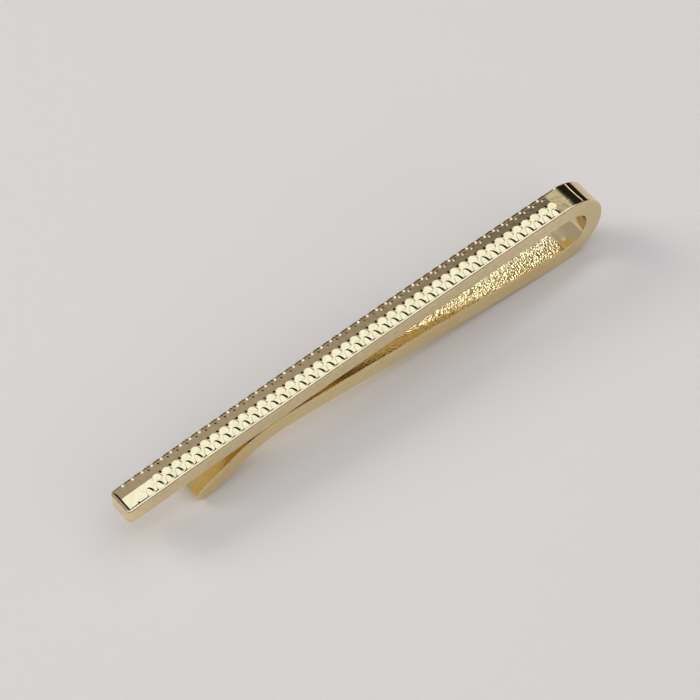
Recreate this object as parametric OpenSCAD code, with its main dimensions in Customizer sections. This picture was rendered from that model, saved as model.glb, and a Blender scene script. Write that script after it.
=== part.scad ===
// Slide tie clip: one metal strip bent like a hairpin, 58 mm long.
// The patterned front bar lies on top, the bow closes it at +X, and the leg
// comes back underneath, presses its knee up against the bar and ends in a
// lead-in tip turned down.
// The clip is built in its own flat frame, with the bow's centre at the origin
// and X along the bar, and is then laid down on the bow and the tip.

/* [Strip] */
// Width of the strip, from its front edge to its back edge
strip_w = 3.0; // [2.4:0.1:6]
// Thickness of the strip
strip_t = 2.0; // [1.4:0.1:2.4]
// Radius on the strip's four long edges
edge_r = 0.22; // [0.1:0.02:0.4]

/* [Front bar] */
// Length of the front bar, from its free end to the start of the bow
bar_l = 53.8; // [46:0.2:70]
// Rise of the bar's middle above its two ends
bar_rise = 0.4; // [0.2:0.1:1.2]
// Radius of the free end's corners, seen from the front
bar_corner_r = 0.7; // [0.3:0.05:1.1]
// Radius of the free end's upper and lower edges, seen from the side
bar_end_r = 0.3; // [0.1:0.05:0.6]

/* [Bow] */
// Inside radius of the bow that joins the front bar and the leg
bow_r = 2.4; // [2.1:0.1:3.2]

/* [Spring leg] */
// Distance from the bow's centre to where the knee meets the front bar
knee_reach = 36.4; // [28:0.2:40]
// Radius of the knee's upper face
knee_r = 11; // [5:0.5:13]
// Gap between the knee and the front bar when the clip is closed
knee_gap = 0.05; // [0.02:0.01:0.2]
// Slope of the tip, down from the front bar
tip_slope = 25; // [15:1:35]
// Length of the straight tip beyond the knee
tip_l = 5.2; // [3:0.1:7]
// Radius of the tip's corners, seen from the front
tip_corner_r = 0.8; // [0.3:0.05:1.1]
// Radius of the tip's lower edge, where the clip rests
tip_heel_r = 0.9; // [0.3:0.05:1.1]
// Radius of the tip's upper edge
tip_lip_r = 0.2; // [0.1:0.05:0.3]

/* [Struck scales] */
// Width of the raised rim round the struck field
rim_w = 0.26; // [0.15:0.01:0.5]
// Depth of the struck field below the rim
field_depth = 0.08; // [0.04:0.01:0.15]
// Distance from one scale to the next along the bar
scale_pitch = 1.12; // [0.9:0.02:1.6]
// Height of one scale above the valley beside it
scale_h = 0.1; // [0.05:0.01:0.15]
// Plain length between the scales and the start of the bow
plain_l = 1.0; // [0:0.2:6]

/* [Hidden] */

// Colours of the plated metal
face_gold = [0.86, 0.80, 0.60];
side_gold = [0.76, 0.69, 0.48];
leg_gold = [0.78, 0.69, 0.38];

// Number of scale rows across the bar
scale_rows = 3;
// How far a cutting shape reaches past what it cuts, and between two parts
overrun = 0.5;
// Smoothness of small circles, of the bow and knee, and of the front bar's long arc
edge_fn = 32;
bend_fn = 96;
bar_fn = 1800;

// Chord and radius of the front bar's long arc, from its length and rise
bar_arc_l = bar_l - bar_corner_r - bar_end_r;
bar_arc_r = bar_arc_l * bar_arc_l / (8 * bar_rise) + bar_rise / 2;
// Half the angle that the front bar's arc covers
bar_half_angle = asin(bar_arc_l / (2 * bar_arc_r));
bow_outer_r = bow_r + strip_t;
// Centre of the front bar's long arc, as X and Z
bar_centre = [sin(bar_half_angle), cos(bar_half_angle)] * (bow_outer_r - bar_arc_r);

// Angle of the knee's contact on the long arc, measured from the vertical
knee_lean = asin((-knee_reach - bar_centre[0]) / (bar_arc_r - strip_t));
// Centre of the knee's arc, as X and Z
knee_centre = bar_centre + [sin(knee_lean), cos(knee_lean)] * (bar_arc_r - strip_t - knee_gap - knee_r);
// Slope of the straight leg, which leaves the bow and meets the knee's arc tangentially
leg_slope = atan2(knee_centre[0], knee_centre[1]) + acos(-(bow_r + knee_r) / norm(knee_centre));
// Length of the straight leg between the bow and the knee
leg_l = sqrt(pow(norm(knee_centre), 2) - pow(bow_r + knee_r, 2));

// Start of the tip on its upper face, as X and Z
tip_start = knee_centre + [-sin(tip_slope), cos(tip_slope)] * knee_r;
// Centre of the round heel under the tip, as X and Z
heel_centre = tip_start - [cos(tip_slope), sin(tip_slope)] * (tip_l - tip_heel_r)
    + [sin(tip_slope), -cos(tip_slope)] * (strip_t - tip_heel_r);

// Turn that brings the bow's underside and the heel down to one level
lie_angle = asin((bow_outer_r - tip_heel_r) / norm(heel_centre)) + atan2(heel_centre[1], -heel_centre[0]);

// Length of the straight stub that ends the bar, beyond its long arc
stub_l = bar_corner_r + bar_end_r;
// Directions out of the bar's upper face and out of its free end, where the stub starts
stub_up = [-sin(bar_half_angle), cos(bar_half_angle)];
stub_out = [-cos(bar_half_angle), -sin(bar_half_angle)];
stub_start = bar_centre + stub_up * bar_arc_r;
// Centre of the round on the free end's upper edge
end_round = stub_start + stub_out * (stub_l - bar_end_r) - stub_up * bar_end_r;
// Furthest points of the clip to either side once it is laid down
right_end = bow_outer_r;
left_end = end_round[0] * cos(lie_angle) - end_round[1] * sin(lie_angle) - bar_end_r;

// Angle on the long arc that a length along the bar's top covers
function along(length) = length / bar_arc_r * 180 / PI;
// The bow end's and the stub end's angles on the long arc, measured from +X
bar_from = 90 - bar_half_angle;
bar_to = 90 + bar_half_angle;

// A point on the struck field, as X and Z, from its length along the bar and its height
function on_arc(length, height) = bar_centre
    + [cos(bar_from + along(length)), sin(bar_from + along(length))] * (bar_arc_r - field_depth + scale_lift + height);

// Side outline of one scale, as shares of its pitch and height: steep on the bow's side
scale_outline_shares = [[0, 0], [0.1, 0.7], [0.3, 1], [0.6, 0.9], [0.85, 0.55]];
// How far the valleys stand above the field, and how deep the scales' roots reach into the bar
scale_lift = 0.02;
scale_root = 0.3;
// Gap between the scales and the field's walls, and how far each row laps over the next
field_gap = 0.05;
row_lap = 0.01;
row_w = (strip_w - 2 * rim_w - 2 * field_gap) / scale_rows;
scales_start = plain_l + field_gap;
// Whole scales that fit on the arc, with room for the half step of every other row
row_step_share = 0.5;
scales_in_row = floor((bar_arc_l - scales_start) / scale_pitch - row_step_share);

// Lays a shape from the clip's flat frame down on the bow and the heel
module lie_down()
    translate([-(left_end + right_end) / 2, 0, bow_outer_r])
        rotate([0, -lie_angle, 0])
            children();

// Cross-section of the strip: thickness along X from zero, width centred on Y
module strip_section()
{
    translate([edge_r, -strip_w / 2])
        square([strip_t - 2 * edge_r, strip_w]);
    translate([0, -strip_w / 2 + edge_r])
        square([strip_t, strip_w - 2 * edge_r]);
    for (x = [edge_r, strip_t - edge_r], y = [-1, 1])
        translate([x, y * (strip_w / 2 - edge_r)])
            circle(r = edge_r, $fn = edge_fn);
}

// Sweeps a cross-section about the Y axis, between two angles measured from +X
module sweep(from, to, fn)
    rotate([90, 0, 0])
        rotate([0, 0, from])
            rotate_extrude(angle = to - from, $fn = fn)
                children();

// A straight run of strip along -X from the origin, its upper face at zero
module straight_strip(length)
    rotate([0, -90, 0])
        linear_extrude(height = length)
            mirror([1, 0])
                strip_section();

// Outline with one pair of rounded corners: it runs from zero along -X to the rounded end
module rounded_end(length, width, radius)
{
    translate([-length + radius, -width / 2])
        square([length - radius, width]);
    translate([-length, -width / 2 + radius])
        square([length, width - 2 * radius]);
    for (y = [-1, 1])
        translate([-length + radius, y * (width / 2 - radius)])
            circle(r = radius, $fn = edge_fn);
}

// Side outline of a strip's end: zero to -length along X, rounded by its own radius above and below
module end_outline(length, top_r, under_r)
{
    translate([-length + max(top_r, under_r), -strip_t])
        square([length - max(top_r, under_r), strip_t]);
    translate([-length, -strip_t + under_r])
        square([length, strip_t - top_r - under_r]);
    translate([-length + top_r, -strip_t / 2])
        square([length - top_r, strip_t / 2]);
    translate([-length + under_r, -strip_t])
        square([length - under_r, strip_t / 2]);
    translate([-length + top_r, -top_r])
        circle(r = top_r, $fn = edge_fn);
    translate([-length + under_r, -strip_t + under_r])
        circle(r = under_r, $fn = edge_fn);
}

// Space inside which a strip's end keeps its rounded form; zero is level with its upper face
module end_space(length, corner_r, top_r, under_r)
    intersection()
    {
        translate([0, 0, -strip_t - overrun])
            linear_extrude(height = strip_t + 2 * overrun)
                rounded_end(length, strip_w, corner_r);
        translate([0, strip_w / 2 + overrun, 0])
            rotate([90, 0, 0])
                linear_extrude(height = strip_w + 2 * overrun)
                    end_outline(length, top_r, under_r);
    }

// One row of scales: its side outline, from the plain part by the bow to the free end
module scale_row(shift)
    rotate([90, 0, 0])
        linear_extrude(height = row_w + row_lap)
            polygon([
                for (i = [0:scales_in_row - 1], share = scale_outline_shares)
                    on_arc(scales_start + (shift + i + share[0]) * scale_pitch, share[1] * scale_h),
                on_arc(scales_start + (shift + scales_in_row) * scale_pitch, 0),
                on_arc(scales_start + (shift + scales_in_row) * scale_pitch, -scale_root),
                on_arc(scales_start + shift * scale_pitch, -scale_root)
            ]);

// All the rows, each one half a scale out of step with the next
module scales()
    for (row = [0:scale_rows - 1])
        translate([0, -strip_w / 2 + rim_w + field_gap + (row + 1) * row_w, 0])
            scale_row(row % 2 * row_step_share);

// The front bar: one long gentle arc and a short straight stub with rounded corners,
// with a field struck into its upper face that leaves a rim all round
module front_bar()
    color(face_gold)
        lie_down()
        {
            difference()
            {
                union()
                {
                    translate([bar_centre[0], 0, bar_centre[1]])
                        sweep(bar_from, bar_to, bar_fn)
                            translate([bar_arc_r - strip_t, 0])
                                strip_section();
                    at_stub()
                        intersection()
                        {
                            straight_strip(stub_l);
                            end_space(stub_l, bar_corner_r, bar_end_r, bar_end_r);
                        }
                }
                translate([bar_centre[0], 0, bar_centre[1]])
                    sweep(bar_from + along(plain_l), bar_to, bar_fn)
                        translate([bar_arc_r - field_depth, -strip_w / 2 + rim_w])
                            square([field_depth + overrun, strip_w - 2 * rim_w]);
                at_stub()
                    translate([rim_w - stub_l, -strip_w / 2 + rim_w, -field_depth])
                        cube([stub_l - rim_w, strip_w - 2 * rim_w, field_depth + overrun]);
            }
            scales();
        }

// Places a shape on the stub's start, level with the bar's upper face
module at_stub()
    translate([stub_start[0], 0, stub_start[1]])
        rotate([0, -bar_half_angle, 0])
            children();

// The bow: the plain round bend that joins the bar to the leg
module bow()
    color(side_gold)
        lie_down()
            sweep(-90 - leg_slope, 90 - bar_half_angle, bend_fn)
                translate([bow_r, 0])
                    strip_section();

// The straight leg, which rises from the bow to the knee
module spring_leg()
    color(leg_gold)
        lie_down()
            rotate([0, leg_slope, 0])
                translate([0, 0, -bow_r])
                    straight_strip(leg_l);

// The knee that presses against the front bar
module grip_knee()
    color(leg_gold)
        lie_down()
            translate([knee_centre[0], 0, knee_centre[1]])
                sweep(90 - leg_slope, 90 + tip_slope, bend_fn)
                    translate([knee_r - strip_t, 0])
                        strip_section();

// The lead-in tip, turned down so that the clip slides on without snagging
module lead_in_tip()
    color(leg_gold)
        lie_down()
            translate([tip_start[0], 0, tip_start[1]])
                rotate([0, -tip_slope, 0])
                    intersection()
                    {
                        straight_strip(tip_l);
                        end_space(tip_l, tip_corner_r, tip_lip_r, tip_heel_r);
                    }

front_bar();
bow();
spring_leg();
grip_knee();
lead_in_tip();
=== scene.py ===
from math import acos, asin, atan2, cos, pi, radians, sin, tan

import bmesh
import bpy
from mathutils import Matrix, Vector


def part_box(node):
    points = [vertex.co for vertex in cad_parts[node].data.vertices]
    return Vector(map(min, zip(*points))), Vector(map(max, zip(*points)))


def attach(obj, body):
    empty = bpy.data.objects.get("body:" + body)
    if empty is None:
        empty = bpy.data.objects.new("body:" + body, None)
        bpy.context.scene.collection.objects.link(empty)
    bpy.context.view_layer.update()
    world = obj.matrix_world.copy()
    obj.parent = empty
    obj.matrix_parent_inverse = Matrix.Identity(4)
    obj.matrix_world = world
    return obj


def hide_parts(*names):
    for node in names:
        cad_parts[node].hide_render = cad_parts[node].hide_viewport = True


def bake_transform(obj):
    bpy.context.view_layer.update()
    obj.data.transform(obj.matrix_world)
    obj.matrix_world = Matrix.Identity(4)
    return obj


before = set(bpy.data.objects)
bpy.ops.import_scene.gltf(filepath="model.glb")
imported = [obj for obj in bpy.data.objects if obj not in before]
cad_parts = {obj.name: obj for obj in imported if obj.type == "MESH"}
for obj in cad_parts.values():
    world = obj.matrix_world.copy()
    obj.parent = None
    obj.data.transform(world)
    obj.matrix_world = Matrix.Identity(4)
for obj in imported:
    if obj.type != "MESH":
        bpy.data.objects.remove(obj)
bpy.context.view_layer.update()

mm = 0.001

# Front bar: the long patterned face of the clip, pressed from one strip of brass.
# Its upper side has a field struck into it, which leaves a narrow rim all round,
# and its free end is filed round. The whole strip is plated in pale gold.
strip_w = 3.0 * mm
strip_t = 2.0 * mm
edge_r = 0.17 * mm
edge_steps = 8
bar_arc_l = 52.8 * mm
bar_rise = 0.4 * mm
bar_steps = 48
stub_l = 1.0 * mm
end_corner_r = 0.5 * mm
end_corner_steps = 8

# The struck field, and the rim that it leaves, which falls away a little outwards
plain_l = 1.0 * mm
rim_w = 0.26 * mm
rim_lean = radians(9)
end_rim = 0.28 * mm
field_wall = 0.14 * mm
back_wall = 0.05 * mm
field_depth = 0.06 * mm

# The field's floor is a low roof with a ridge along the bar. It falls away at the free end,
# where its last edge is drawn in by end_wall_slope.
ridge_h = 0.085 * mm
ridge_y = 0.22 * mm
ridge_half_w = 0.06 * mm
end_fall_l = 0.8 * mm
end_fall = 0.08 * mm
end_fall_cuts = 4
end_wall_slope = 0.06 * mm

# How near is the same place, how near is on the upper face or on the floor, how steep a
# normal points up, which bend is an edge of the strip, and which bends look smooth
near = 0.001 * mm
on_top = 0.004 * mm
on_floor = 0.008 * mm
faces_up = 0.9
sharp_bend = radians(60)
bar_smooth = radians(15)

# The bar leaves the bow at bar_start, an angle about the bow's centre
bow_out_r = 4.4 * mm
bow_in_r = 2.4 * mm
bow_low, bow_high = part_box("bow")
bar_low, bar_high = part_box("front_bar")
bow_x = bow_high.x - bow_out_r
bow_z = bow_low.z + bow_out_r
bar_start = acos((bar_high.x - bow_x) / bow_in_r)
bar_arc_r = bar_arc_l * bar_arc_l / (8 * bar_rise) + bar_rise / 2
bar_turn = 2 * asin(bar_arc_l / (2 * bar_arc_r))
bar_end = bar_start + bar_turn
arc_x = bow_x + (bow_out_r - bar_arc_r) * cos(bar_start)
arc_z = bow_z + (bow_out_r - bar_arc_r) * sin(bar_start)
turn_axis = (0, 1, 0)

# Flat outlines start with a side or a radius of one unit, and are then scaled to their sizes
unit = 1


def start_strip(name, centre_x, centre_z, radius, angle):
    """The strip's cross-section as one face, standing across the strip's path"""
    place = (centre_x + radius * cos(angle), 0, centre_z + radius * sin(angle))
    bpy.ops.object.select_all(action="DESELECT")
    bpy.ops.mesh.primitive_plane_add(size=unit, location=place, rotation=(0, -angle, 0))
    piece = bpy.context.object
    piece.name = name
    piece.scale = (strip_t, strip_w, 1)
    bpy.ops.object.transform_apply(location=True, rotation=True, scale=True)
    bpy.ops.object.mode_set(mode="EDIT")
    return piece


def pick(piece, kind, wanted):
    """Selects only the faces, edges or corners of a piece in edit mode that are wanted"""
    bpy.ops.mesh.select_mode(type=kind)
    bpy.ops.mesh.select_all(action="DESELECT")
    mesh = bmesh.from_edit_mesh(piece.data)
    parts = {"FACE": mesh.faces, "EDGE": mesh.edges, "VERT": mesh.verts}[kind]
    parts.ensure_lookup_table()
    for part in [part for part in parts if wanted(part)]:
        part.select_set(True)
    mesh.select_flush_mode()
    bmesh.update_edit_mesh(piece.data)


def middle(edge):
    """The middle point of an edge"""
    return (edge.verts[0].co + edge.verts[1].co) / 2


def close_mesh(piece, smooth_angle):
    """Turns every face outwards, leaves edit mode and shades the bends smooth and the flats flat"""
    bpy.ops.mesh.select_all(action="SELECT")
    bpy.ops.mesh.normals_make_consistent(inside=False)
    bpy.ops.object.mode_set(mode="OBJECT")
    bpy.ops.object.shade_smooth_by_angle(angle=smooth_angle)
    # Faces this small lose their weight in the modifier, so it works on the piece enlarged
    piece.data.transform(Matrix.Scale(1 / mm, 4))
    flat = piece.modifiers.new("flat_faces", "WEIGHTED_NORMAL")
    flat.keep_sharp = True
    bpy.ops.object.modifier_apply(modifier="flat_faces")
    piece.data.transform(Matrix.Scale(mm, 4))


bar = start_strip("front_bar_strip", arc_x, arc_z, bar_arc_r - strip_t / 2, bar_start)
bpy.ops.mesh.select_all(action="SELECT")
bpy.ops.mesh.spin(steps=bar_steps, angle=bar_turn, center=(arc_x, 0, arc_z), axis=turn_axis)
end_out = Vector((-sin(bar_end), 0, cos(bar_end)))
end_up = Vector((cos(bar_end), 0, sin(bar_end)))
bpy.ops.mesh.extrude_region_move(TRANSFORM_OT_translate={"value": end_out * stub_l})
bpy.ops.mesh.select_all(action="SELECT")
bpy.ops.mesh.normals_make_consistent(inside=False)

# The two upright corners of the free end are rounded, and then every long edge
end_top = Vector((arc_x, 0, arc_z)) + end_up * bar_arc_r + end_out * stub_l
start_out = Vector((sin(bar_start), 0, -cos(bar_start)))
start_top = Vector((arc_x + bar_arc_r * cos(bar_start), 0, arc_z + bar_arc_r * sin(bar_start)))
pick(bar, "EDGE", lambda edge: abs((middle(edge) - end_top).dot(end_out)) < near
     and abs(middle(edge).y) > strip_w / 2 - near)
bpy.ops.mesh.bevel(offset=end_corner_r, segments=end_corner_steps, affect="EDGES")
pick(bar, "EDGE", lambda edge: edge.calc_face_angle(0) > sharp_bend
     and (middle(edge) - start_top).dot(start_out) < -near)
bpy.ops.mesh.bevel(offset=edge_r, segments=edge_steps, affect="EDGES")

# The field is struck into the upper face, from a short way past the bow to the free end.
# Its corners are square. The floor lies inside the field's sloped walls.
bar_top_l = bar_turn * bar_arc_r
field_half_w = strip_w / 2 - rim_w
field_end = bar_top_l + stub_l - end_rim
floor_half_w = field_half_w - field_wall
floor_end = field_end - field_wall


def bar_height(point):
    """Height of a point above the bar's upper face, before the field is struck"""
    past_end = (point - end_top).dot(end_out) + stub_l
    if past_end > 0:
        return (point - end_top).dot(end_up)
    return Vector((point.x - arc_x, point.z - arc_z)).length - bar_arc_r


def past_start(point):
    """Length along the bar's upper face, from the bow to a point"""
    past_end = (point - end_top).dot(end_out) + stub_l
    if past_end > 0:
        return bar_top_l + past_end
    return (atan2(point.z - arc_z, point.x - arc_x) - bar_start) * bar_arc_r


def across_bar(length):
    """Where a cut across the bar goes: a point on its upper face and the direction along it"""
    past_end = length - bar_top_l
    if past_end > 0:
        return end_top + end_out * (past_end - stub_l), end_out
    angle = bar_start + length / bar_arc_r
    place = Vector((arc_x + bar_arc_r * cos(angle), 0, arc_z + bar_arc_r * sin(angle)))
    return place, Vector((-sin(angle), 0, cos(angle)))


def along_bar(y):
    """Where a cut along the bar goes: a point at its place and the direction across the bar"""
    return Vector((0, y, 0)), Vector((0, 1, 0))


def is_upper(face):
    """Whether a face is part of the bar's upper face"""
    return face.normal.z > faces_up and bar_height(face.calc_center_median()) > -on_top


def is_field(face):
    """Whether a face of the upper side lies where the field is struck"""
    point = face.calc_center_median()
    return is_upper(face) and abs(point.y) < field_half_w and plain_l < past_start(point) < field_end


def is_at_floor(point):
    """Whether a point lies as deep as the struck field's floor"""
    return abs(bar_height(point) + field_depth) < on_floor


def is_floor(face):
    """Whether a face is part of the struck field's floor"""
    point = face.calc_center_median()
    return abs(point.y) < field_half_w and face.normal.z > faces_up and is_at_floor(point)


def roof_at(y):
    """How far the roof of the field's floor rises above its sides"""
    side_w = floor_half_w - ridge_y if y > ridge_y else floor_half_w + ridge_y
    return ridge_h * max(0, min(1, (side_w - abs(y - ridge_y)) / (side_w - ridge_half_w)))


def cut_bar(cuts, wanted):
    """Cuts the wanted faces of the bar in two at each of the cuts"""
    for place, direction in cuts:
        pick(bar, "FACE", wanted)
        bpy.ops.mesh.bisect(plane_co=place, plane_no=direction, threshold=near)


field_sides = [along_bar(-field_half_w), along_bar(field_half_w)]
cut_bar([across_bar(plain_l), across_bar(field_end)] + field_sides, is_upper)
pick(bar, "FACE", is_field)
bpy.ops.mesh.inset(thickness=field_wall, depth=-field_depth)
ridge_cuts = [along_bar(y) for y in (ridge_y - ridge_half_w, ridge_y, ridge_y + ridge_half_w)]
fall_lengths = [end_fall_l * (step + 1) / end_fall_cuts for step in range(end_fall_cuts)]
cut_bar(ridge_cuts + [across_bar(floor_end - length) for length in fall_lengths], is_floor)

# The floor's points are moved up to its roof and the rim's points down to its fall
mesh = bmesh.from_edit_mesh(bar.data)
for vert in mesh.verts:
    in_floor = is_at_floor(vert.co) and abs(vert.co.y) < floor_half_w + near
    if in_floor and plain_l < past_start(vert.co) < floor_end + near:
        fall_share = max(0, 1 - (floor_end - past_start(vert.co)) / end_fall_l)
        vert.co += end_up * (roof_at(vert.co.y) - end_fall * fall_share ** 2)
        if fall_share > 1 - near / end_fall_l:
            vert.co -= end_out * end_wall_slope
        if vert.co.y > floor_half_w - near:
            vert.co.y += field_wall - back_wall
    elif abs(vert.co.y) > field_half_w and bar_height(vert.co) > -edge_r - near:
        vert.co -= end_up * (abs(vert.co.y) - field_half_w) * tan(rim_lean)
bmesh.update_edit_mesh(bar.data)
close_mesh(bar, bar_smooth)

# The pale gold plate is polished metal with a faint ripple and a fine grain. Its colour
# drifts in patches, and in others it has a little haze where it has been handled.
# The three finishes of the clip share these effects.
ripple_detail = 0
grain_detail = 1
patch_detail = 3
patch_from = 0.35
patch_to = 0.65
haze_size = 700
haze_detail = 4
haze_from = 0.35
haze_to = 0.75

# The heights of ripple and grain are in metres already, so the relief takes them in full
relief_strength = 1
relief_distance = 1

# The colours of a Mix node are known by their places only
first_colour = 6
second_colour = 7
mixed_colour = 2


def new_group(name, values, outputs):
    """An empty node group with named inputs and outputs, and the ends of its wires"""
    group = bpy.data.node_groups.new(name, "ShaderNodeTree")
    for label, kind in values.items():
        group.interface.new_socket(label, in_out="INPUT", socket_type=kind)
    for label, kind in outputs.items():
        group.interface.new_socket(label, in_out="OUTPUT", socket_type=kind)
    return group, group.nodes.new("NodeGroupInput"), group.nodes.new("NodeGroupOutput")


def node(tree, kind, inputs, **settings):
    """Adds a node, gives it its settings, and wires or sets its inputs by name or by place"""
    added = tree.nodes.new(kind)
    for setting, value in settings.items():
        setattr(added, setting, value)
    for label, value in inputs.items():
        if isinstance(value, bpy.types.NodeSocket):
            tree.links.new(value, added.inputs[label])
        else:
            added.inputs[label].default_value = value
    return added


def surface_group():
    """Polishing ripple and fine grain, as a height in metres"""
    labels = ("Ripple Size", "Ripple Height", "Grain Size", "Grain Height")
    values = {label: "NodeSocketFloat" for label in labels}
    group, given, out = new_group("plate_surface", values, {"Height": "NodeSocketFloat"})
    place = node(group, "ShaderNodeTexCoord", {})
    ripple = node(group, "ShaderNodeTexNoise", {
        "Vector": place.outputs["Object"], "Scale": given.outputs["Ripple Size"], "Detail": ripple_detail})
    grain = node(group, "ShaderNodeTexNoise", {
        "Vector": place.outputs["Object"], "Scale": given.outputs["Grain Size"], "Detail": grain_detail})
    raised = node(group, "ShaderNodeMath", {
        0: ripple.outputs["Fac"], 1: given.outputs["Ripple Height"]}, operation="MULTIPLY")
    height = node(group, "ShaderNodeMath", {
        0: grain.outputs["Fac"], 1: given.outputs["Grain Height"], 2: raised.outputs["Value"]},
        operation="MULTIPLY_ADD")
    group.links.new(height.outputs["Value"], out.inputs["Height"])
    return group


def tint_group():
    """Plating colour that drifts in patches, and haze that raises the roughness in others"""
    values = {"Light": "NodeSocketColor", "Deep": "NodeSocketColor", "Smooth": "NodeSocketFloat",
              "Hazy": "NodeSocketFloat", "Patch Size": "NodeSocketFloat"}
    outputs = {"Color": "NodeSocketColor", "Roughness": "NodeSocketFloat"}
    group, given, out = new_group("plate_tint", values, outputs)
    place = node(group, "ShaderNodeTexCoord", {})
    drift = node(group, "ShaderNodeTexNoise", {
        "Vector": place.outputs["Object"], "Scale": given.outputs["Patch Size"], "Detail": patch_detail})
    patch = node(group, "ShaderNodeMapRange", {
        "Value": drift.outputs["Fac"], "From Min": patch_from, "From Max": patch_to})
    haze = node(group, "ShaderNodeTexNoise", {
        "Vector": place.outputs["Object"], "Scale": haze_size, "Detail": haze_detail})
    colour = node(group, "ShaderNodeMix", {
        "Factor": patch.outputs["Result"], first_colour: given.outputs["Light"],
        second_colour: given.outputs["Deep"]}, data_type="RGBA")
    rough = node(group, "ShaderNodeMapRange", {
        "Value": haze.outputs["Fac"], "From Min": haze_from, "From Max": haze_to,
        "To Min": given.outputs["Smooth"], "To Max": given.outputs["Hazy"]})
    group.links.new(colour.outputs[mixed_colour], out.inputs["Color"])
    group.links.new(rough.outputs["Result"], out.inputs["Roughness"])
    return group


plate_surface = surface_group()
plate_tint = tint_group()


def plated_gold(name, light, deep, patch_size, smooth, hazy, ripple_size, ripple, grain_size, grain):
    """A plated finish from the shared effects, with its own colours and its own polish"""
    material = bpy.data.materials.new(name)
    material.use_nodes = True
    tree = material.node_tree
    shader = tree.nodes["Principled BSDF"]
    shader.inputs["Metallic"].default_value = 1
    tint = node(tree, "ShaderNodeGroup", {
        "Light": light, "Deep": deep, "Smooth": smooth, "Hazy": hazy, "Patch Size": patch_size},
        node_tree=plate_tint)
    surface = node(tree, "ShaderNodeGroup", {
        "Ripple Size": ripple_size, "Ripple Height": ripple, "Grain Size": grain_size,
        "Grain Height": grain}, node_tree=plate_surface, name="surface")
    relief = node(tree, "ShaderNodeBump", {
        "Height": surface.outputs["Height"], "Strength": relief_strength, "Distance": relief_distance})
    tree.links.new(tint.outputs["Color"], shader.inputs["Base Color"])
    tree.links.new(tint.outputs["Roughness"], shader.inputs["Roughness"])
    tree.links.new(relief.outputs["Normal"], shader.inputs["Normal"])
    return material


face_light = (0.90, 0.715, 0.43, 1)
face_deep = (0.80, 0.66, 0.36, 1)
face_ripple = 0.005 * mm
face_grain = 0.001 * mm
face_gold = plated_gold(
    "face_gold", face_light, face_deep, patch_size=1500, smooth=0.03, hazy=0.08,
    ripple_size=2200, ripple=face_ripple, grain_size=9000, grain=face_grain)


def finish(piece, material, slot, body, *nodes):
    """Gives a finished piece its metal and puts it on its body; the slot it is passed is not used"""
    piece.data.materials.clear()
    piece.data.materials.append(material)
    if body:
        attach(piece, body)
    if nodes:
        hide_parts(*nodes)


finish(bar, face_gold, "struck_bar", "bar", "front_bar")

# Struck scales: rows of small tongues that the die presses up out of the bar's own metal.
# Each has a round end towards the back edge, where it stands highest, and a sloped right
# side. Small facets stand between the rows and along the back rim.
scale_pitch = 1.12 * mm
scales_in_row = 49
first_place = -0.55
foot_share = 0.3
scale_sides = 28
facet_sides = 10
skirt_h = 0.07 * mm
thin_flank = 0.03 * mm
scale_roll = radians(2)
scale_smooth = radians(6)

# Each tongue's half width, half length, height, tilt, right flank and back flank
front_scale_sizes = (0.44 * mm, 0.87 * mm, 0.042 * mm, radians(3), 0.27 * mm, 0.07 * mm)
middle_scale_sizes = (0.55 * mm, 0.64 * mm, 0.015 * mm, radians(3), 0.1 * mm, 0.03 * mm)

# Each facet's half width, half length, height, lean to the right and lean to the back.
# The dark ones lean away and the bright ones to the front, so that they sparkle by turns.
dark_dot_sizes = (0.17 * mm, 0.16 * mm, 0.025 * mm, radians(10), radians(9))
dark_stroke_sizes = (0.1 * mm, 0.17 * mm, 0.03 * mm, radians(12), radians(6))
bright_bead_sizes = (0.13 * mm, 0.12 * mm, 0.08 * mm, 0, radians(-14))
bright_slash_sizes = (0.06 * mm, 0.13 * mm, 0.04 * mm, 0, radians(-14))
rim_tooth_sizes = (0.14 * mm, 0.09 * mm, 0.05 * mm, radians(10), radians(12))

# The lean of the floor's roof in front of its ridge and behind it
near_lean = ridge_h / (floor_half_w + ridge_y)
far_lean = -ridge_h / (floor_half_w - ridge_y)


def start_outline(name, sides, half_w, half_l):
    """A flat oval face just under the ground at the origin, in edit mode"""
    bpy.ops.object.select_all(action="DESELECT")
    bpy.ops.mesh.primitive_circle_add(
        vertices=sides, radius=unit, fill_type="NGON", location=(0, 0, -skirt_h))
    piece = bpy.context.object
    piece.name = name
    piece.scale = (half_w, half_l, 1)
    bpy.ops.object.transform_apply(location=True, rotation=True, scale=True)
    bpy.ops.object.mode_set(mode="EDIT")
    return piece


def make_scale(name, half_w, half_l, height, tilt, right_flank, back_flank):
    """One tongue: upright skirt, sloped flanks and a top that rises towards the back"""
    scale = start_outline(name, scale_sides, half_w, half_l)
    pick(scale, "VERT", lambda vert: vert.co.y < -near)
    bpy.ops.transform.resize(value=(1, foot_share, 1), center_override=(0, 0, 0))
    bpy.ops.mesh.select_all(action="SELECT")
    bpy.ops.mesh.extrude_region_move(TRANSFORM_OT_translate={"value": (0, 0, skirt_h)})
    shift = Vector(((thin_flank - right_flank) / 2, (thin_flank - back_flank) / 2, height))
    bpy.ops.mesh.extrude_region_move(TRANSFORM_OT_translate={"value": shift})
    top_w_share = 1 - (thin_flank + right_flank) / (2 * half_w)
    top_l_share = 1 - (thin_flank + back_flank) / ((1 + foot_share) * half_l)
    bpy.ops.transform.resize(value=(top_w_share, top_l_share, 1), center_override=shift)
    bpy.ops.transform.rotate(value=scale_roll, orient_axis="Y", center_override=shift)
    bpy.ops.transform.rotate(value=-tilt, orient_axis="X", center_override=shift)
    close_mesh(scale, scale_smooth)
    return scale


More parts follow.
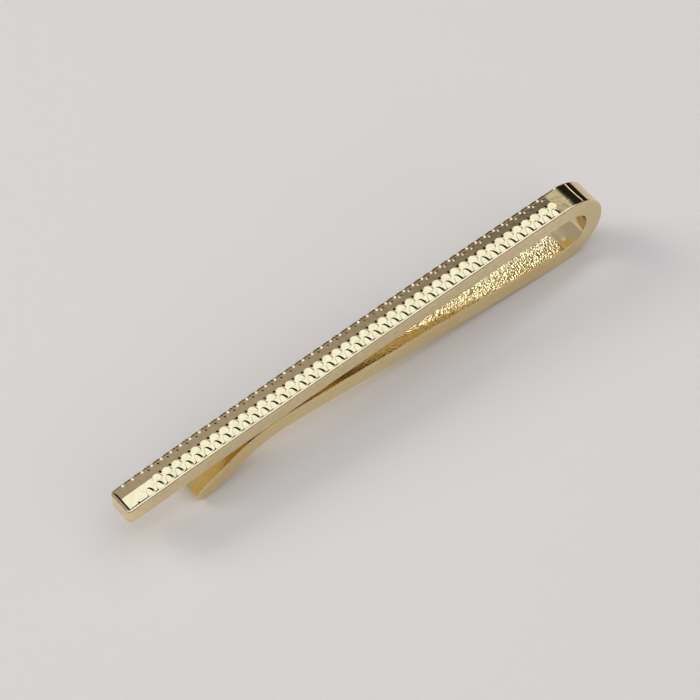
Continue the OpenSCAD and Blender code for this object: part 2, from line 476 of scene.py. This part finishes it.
def make_facet(name, half_w, half_l, height, lean_right, lean_back):
    """One small raised facet with a flat top that leans right and back by two angles"""
    facet = start_outline(name, facet_sides, half_w, half_l)
    bpy.ops.mesh.select_all(action="SELECT")
    bpy.ops.mesh.extrude_region_move(TRANSFORM_OT_translate={"value": (0, 0, skirt_h + height)})
    bpy.ops.transform.rotate(value=-lean_right, orient_axis="Y", center_override=(0, 0, height))
    bpy.ops.transform.rotate(value=lean_back, orient_axis="X", center_override=(0, 0, height))
    close_mesh(facet, scale_smooth)
    return facet


def place_copy(pattern, along, y):
    """Puts a copy of a pattern mesh on the field's floor, square to it"""
    angle = bar_start + along / bar_arc_r
    lift = bar_arc_r - field_depth + roof_at(y)
    lean = near_lean if y < ridge_y else far_lean
    copy = pattern.copy()
    copy.data = pattern.data.copy()
    bpy.context.collection.objects.link(copy)
    place = Matrix.Translation((arc_x + lift * cos(angle), y, arc_z + lift * sin(angle)))
    copy.data.transform(place @ Matrix.Rotation(pi / 2 - angle, 4, "Y") @ Matrix.Rotation(lean, 4, "X"))
    return copy


front_scale = make_scale("front_scale", *front_scale_sizes)
middle_scale = make_scale("middle_scale", *middle_scale_sizes)
dark_dot = make_facet("dark_dot", *dark_dot_sizes)
dark_stroke = make_facet("dark_stroke", *dark_stroke_sizes)
bright_bead = make_facet("bright_bead", *bright_bead_sizes)
bright_slash = make_facet("bright_slash", *bright_slash_sizes)
rim_tooth = make_facet("rim_tooth", *rim_tooth_sizes)

# Each row's pattern, its place across the bar, its shift in pitches, and where it runs
# from and to. Most rows stop short of the free end, where the field is nearly plain.
rows_from = 1.2 * mm
rows_to = 52.6 * mm
pattern_rows = [
    (front_scale, -1.25 * mm, 0, rows_from, 51.8 * mm),
    (middle_scale, -0.28 * mm, 0.8, rows_from, 50.0 * mm),
    (dark_dot, 0.2 * mm, 0.26, rows_from, 49.4 * mm),
    (dark_dot, -1.12 * mm, 0.32, 43.0 * mm, rows_to),
    (dark_stroke, 1.05 * mm, 0.9, rows_from, 50.0 * mm),
    (dark_stroke, 1.28 * mm, 0.86, rows_from, 26.0 * mm),
    (bright_slash, 0.95 * mm, 0.14, rows_from, 22.0 * mm),
    (bright_bead, 1.22 * mm, 0.45, rows_from, rows_to),
    (rim_tooth, 1.37 * mm, 0.02, rows_from, rows_to),
    (rim_tooth, 1.37 * mm, 0.75, rows_from, rows_to),
]
copies = []
for pattern, row_y, shift_share, row_start, row_end in pattern_rows:
    for number in range(scales_in_row):
        along = plain_l + (number + first_place + shift_share) * scale_pitch
        if row_start < along < row_end:
            copies.append(place_copy(pattern, along, row_y))
for pattern in (front_scale, middle_scale, dark_dot, dark_stroke, bright_bead, bright_slash, rim_tooth):
    bpy.data.objects.remove(pattern)
bpy.ops.object.select_all(action="DESELECT")
for copy in copies:
    copy.select_set(True)
bpy.context.view_layer.objects.active = copies[0]
bpy.ops.object.join()
scales = bpy.context.object
scales.name = "struck_scales"

# What would reach over the front rim is cut off
bpy.ops.object.mode_set(mode="EDIT")
bpy.ops.mesh.select_all(action="SELECT")
bpy.ops.mesh.bisect(plane_co=(0, -field_half_w, 0), plane_no=(0, -1, 0), clear_outer=True,
                    use_fill=True, threshold=near)
close_mesh(scales, scale_smooth)
finish(scales, face_gold, "struck_bar", "bar")

# Bow: the plain round bend that joins the bar to the leg, in the same strip of brass.
# It is polished all over. It is the clip's spring.
bow_steps = 160
strip_smooth = radians(35)
bow_mid_r = (bow_out_r + bow_in_r) / 2
leg_rise = asin((bow_x - bow_low.x) / bow_out_r)
bow_start = -pi / 2 - leg_rise


def round_section():
    """Rounds the corners of a new strip's cross-section, and selects all of it"""
    bpy.ops.mesh.select_all(action="SELECT")
    bpy.ops.mesh.bevel(offset=edge_r, segments=edge_steps, affect="VERTICES")
    bpy.ops.mesh.select_all(action="SELECT")


bow = start_strip("bow_bend", bow_x, bow_z, bow_mid_r, bow_start)
round_section()
bpy.ops.mesh.spin(steps=bow_steps, angle=bar_start - bow_start, center=(bow_x, 0, bow_z), axis=turn_axis)
close_mesh(bow, strip_smooth)
bow_light = (0.88, 0.72, 0.41, 1)
bow_deep = (0.82, 0.65, 0.35, 1)
bow_ripple = 0.02 * mm
bow_grain = 0.0008 * mm
bow_gold = plated_gold(
    "bow_gold", bow_light, bow_deep, patch_size=160, smooth=0.04, hazy=0.12,
    ripple_size=600, ripple=bow_ripple, grain_size=9000, grain=bow_grain)
finish(bow, bow_gold, "polished_bow", None, "bow")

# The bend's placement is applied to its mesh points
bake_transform(bow)

# Spring leg: the straight back of the clip, which rises from the bow to the knee.
# It is the same strip, tumbled but not polished, so its inner face stays grainy.
leg_low, leg_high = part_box("spring_leg")
leg_l = (leg_high.x - leg_low.x - strip_t * sin(leg_rise)) / cos(leg_rise)
leg_out = Vector((-cos(leg_rise), 0, sin(leg_rise)))
leg = start_strip("spring_leg_strip", bow_x, bow_z, bow_mid_r, bow_start)
round_section()
bpy.ops.mesh.extrude_region_move(TRANSFORM_OT_translate={"value": leg_out * leg_l})
close_mesh(leg, strip_smooth)
leg_light = (0.90, 0.74, 0.40, 1)
leg_deep = (0.84, 0.66, 0.33, 1)
leg_ripple = 0.006 * mm
leg_grain = 0.035 * mm
leg_gold = plated_gold(
    "leg_gold", leg_light, leg_deep, patch_size=160, smooth=0.09, hazy=0.17,
    ripple_size=600, ripple=leg_ripple, grain_size=5500, grain=leg_grain)

# The grain is left only on the inner face, and is rubbed away towards the knee. It fades
# between two places along the leg and between two steepnesses of the surface.
rubbed_x = -8 * mm
grainy_x = 10 * mm
rubbed_share = 0.15
side_normal = 0.7
inner_normal = 0.95
side_share = 0.1
leg_tree = leg_gold.node_tree
leg_place = node(leg_tree, "ShaderNodeTexCoord", {})
leg_along = node(leg_tree, "ShaderNodeSeparateXYZ", {"Vector": leg_place.outputs["Object"]})
leg_facing = node(leg_tree, "ShaderNodeNewGeometry", {})
leg_up_share = node(leg_tree, "ShaderNodeSeparateXYZ", {"Vector": leg_facing.outputs["True Normal"]})
unrubbed = node(leg_tree, "ShaderNodeMapRange", {
    "Value": leg_along.outputs["X"], "From Min": rubbed_x, "From Max": grainy_x,
    "To Min": rubbed_share, "To Max": 1})
inner_face = node(leg_tree, "ShaderNodeMapRange", {
    "Value": leg_up_share.outputs["Z"], "From Min": side_normal, "From Max": inner_normal,
    "To Min": side_share, "To Max": 1})
grain_share = node(leg_tree, "ShaderNodeMath", {
    0: unrubbed.outputs["Result"], 1: inner_face.outputs["Result"]}, operation="MULTIPLY")
grain_height = node(leg_tree, "ShaderNodeMath", {
    0: grain_share.outputs["Value"], 1: leg_grain}, operation="MULTIPLY")
leg_tree.links.new(grain_height.outputs["Value"], leg_tree.nodes["surface"].inputs["Grain Height"])
finish(leg, leg_gold, "plated_leg", "leg", "spring_leg")

# Grip knee: the low bend whose upper face presses the cloth against the bar.
# It is bent in the same strip of plated brass, straight on from the leg.
knee_r = 11.0 * mm
knee_steps = 32
knee_low, knee_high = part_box("grip_knee")
leg_up = Vector((sin(leg_rise), 0, cos(leg_rise)))
bow_middle = Vector((bow_x, 0, bow_z))
knee_middle = bow_middle - leg_up * bow_in_r + leg_out * leg_l - leg_up * knee_r
knee_start = pi / 2 - leg_rise
knee_end = acos((knee_low.x - knee_middle.x) / knee_r)
knee = start_strip("grip_knee_strip", knee_middle.x, knee_middle.z, knee_r - strip_t / 2, knee_start)
round_section()
bpy.ops.mesh.spin(steps=knee_steps, angle=knee_end - knee_start, center=knee_middle, axis=turn_axis)
close_mesh(knee, strip_smooth)
finish(knee, leg_gold, "plated_leg", "leg", "grip_knee")

# Lead-in tip: the end of the plated strip, turned down so that the clip slides on.
# Its corners are filed round and its heel, on which the clip lies, is rounder still.
tip_l = 5.7 * mm
tip_corner_r = 0.4 * mm
tip_heel_r = 1.6 * mm
tip_steps = 8
tip_out = Vector((-sin(knee_end), 0, cos(knee_end)))
tip_up = Vector((cos(knee_end), 0, sin(knee_end)))
tip_top = knee_middle + tip_up * knee_r + tip_out * tip_l
tip_start_top = tip_top - tip_out * tip_l
tip = start_strip("lead_in_tip_strip", knee_middle.x, knee_middle.z, knee_r - strip_t / 2, knee_end)
bpy.ops.mesh.select_all(action="SELECT")
bpy.ops.mesh.extrude_region_move(TRANSFORM_OT_translate={"value": tip_out * tip_l})
bpy.ops.mesh.select_all(action="SELECT")
bpy.ops.mesh.normals_make_consistent(inside=False)
pick(tip, "EDGE", lambda edge: abs((middle(edge) - tip_top).dot(tip_out)) < near
     and (middle(edge) - tip_top).dot(tip_up) < -strip_t + near)
bpy.ops.mesh.bevel(offset=tip_heel_r, segments=tip_steps, affect="EDGES")
pick(tip, "EDGE", lambda edge: abs((middle(edge) - tip_top).dot(tip_out)) < near
     and abs(middle(edge).y) > strip_w / 2 - near)
bpy.ops.mesh.bevel(offset=tip_corner_r, segments=tip_steps, affect="EDGES")
pick(tip, "EDGE", lambda edge: edge.calc_face_angle(0) > sharp_bend
     and (middle(edge) - tip_start_top).dot(tip_out) > near)
bpy.ops.mesh.bevel(offset=edge_r, segments=edge_steps, affect="EDGES")
close_mesh(tip, strip_smooth)
finish(tip, leg_gold, "plated_leg", "leg", "lead_in_tip")

# Studio: a plain pale sheet under a wide soft light, with a window light behind to the left
# and a fill in front. Three small lights behind to the right are there for the gold to
# mirror. The camera stands where the photograph was taken from.
floor_size = 6.0
floor_tone = (0.695, 0.65, 0.585, 1)
floor_roughness = 0.9
bpy.ops.object.select_all(action="DESELECT")
bpy.ops.mesh.primitive_plane_add(size=floor_size)
floor = bpy.context.object
floor.name = "floor"
floor_paper = bpy.data.materials.new("floor_paper")
floor_paper.use_nodes = True
floor_shader = floor_paper.node_tree.nodes["Principled BSDF"]
floor_shader.inputs["Base Color"].default_value = floor_tone
floor_shader.inputs["Roughness"].default_value = floor_roughness
floor.data.materials.append(floor_paper)

# Each light's name, place, the point it is turned to, width, depth, brightness and tint
plain_tint = (1, 1, 1)
soft_lights = [
    ("top_light", (0.025, 0.028, 0.5), (0.025, 0.028, 0), 0.95, 0.37, 0.85, (0.79, 1, 1.28)),
    ("window_light", (-0.55, 0.6, 0.58), (0, 0, 0), 0.45, 0.45, 6.5, plain_tint),
    ("fill_light", (0.15, -0.7, 0.8), (0, 0, 0), 1.2, 1.2, 0.85, plain_tint),
    ("bounce_light", (0.45, 0.386, 0.7), (0, 0, 0), 0.2, 0.13, 0.27, (0.82, 1, 0.75)),
    ("inner_light", (0.477, 0.441, 0.621), (0, 0, 0), 0.08, 0.08, 11.0, (0.93, 1, 1.22)),
    ("strip_light", (0.75, 0.53, 0.3), (0, 0, 0), 0.38, 0.03, 2.0, plain_tint),
]
not_mirrored = ("window_light", "fill_light")
for name, place, aim, width, depth, brightness, tint in soft_lights:
    lamp = bpy.data.lights.new(name, "AREA")
    lamp.color = tint
    lamp.shape = "RECTANGLE"
    lamp.size = width
    lamp.size_y = depth
    lamp.energy = brightness * pi * width * depth
    light = bpy.data.objects.new(name, lamp)
    bpy.context.collection.objects.link(light)
    light.location = place
    light.rotation_euler = (Vector(aim) - Vector(place)).to_track_quat("-Z", "Y").to_euler()
    light.visible_glossy = name not in not_mirrored

# The room is dim, and darkest low down behind to the right. The camera itself sees it pale.
dark_side = (0.7, 0.71, 0.0)
dark_from = 0.58
dark_to = 0.76
room_grey = (0.40, 0.38, 0.41, 1)
room_dark = (0.015, 0.015, 0.015, 1)
room_pale = (0.7, 0.7, 0.72, 1)
world = bpy.data.worlds.new("studio")
bpy.context.scene.world = world
world.use_nodes = True
room = world.node_tree
direction = node(room, "ShaderNodeTexCoord", {})
facing = node(room, "ShaderNodeVectorMath", {
    0: direction.outputs["Generated"], 1: dark_side}, operation="DOT_PRODUCT")
darkness = node(room, "ShaderNodeMapRange", {
    "Value": facing.outputs["Value"], "From Min": dark_from, "From Max": dark_to},
    interpolation_type="SMOOTHSTEP")
room_tone = node(room, "ShaderNodeMix", {
    "Factor": darkness.outputs["Result"], first_colour: room_grey, second_colour: room_dark},
    data_type="RGBA")
ray = node(room, "ShaderNodeLightPath", {})
seen_tone = node(room, "ShaderNodeMix", {
    "Factor": ray.outputs["Is Camera Ray"], first_colour: room_tone.outputs[mixed_colour],
    second_colour: room_pale}, data_type="RGBA")
room.links.new(seen_tone.outputs[mixed_colour], room.nodes["Background"].inputs["Color"])
bpy.context.scene.view_settings.view_transform = "Standard"

camera_place = (-0.137248, -0.146247, 0.289739)
camera_turn = (radians(35.068), radians(-2.341), radians(-39.489))
camera_lens = 189.05
camera_sensor_w = 36
camera_data = bpy.data.cameras.new("camera")
camera_data.lens = camera_lens
camera_data.sensor_width = camera_sensor_w
camera = bpy.data.objects.new("camera", camera_data)
bpy.context.collection.objects.link(camera)
camera.location = camera_place
camera.rotation_euler = camera_turn
bpy.context.scene.camera = camera
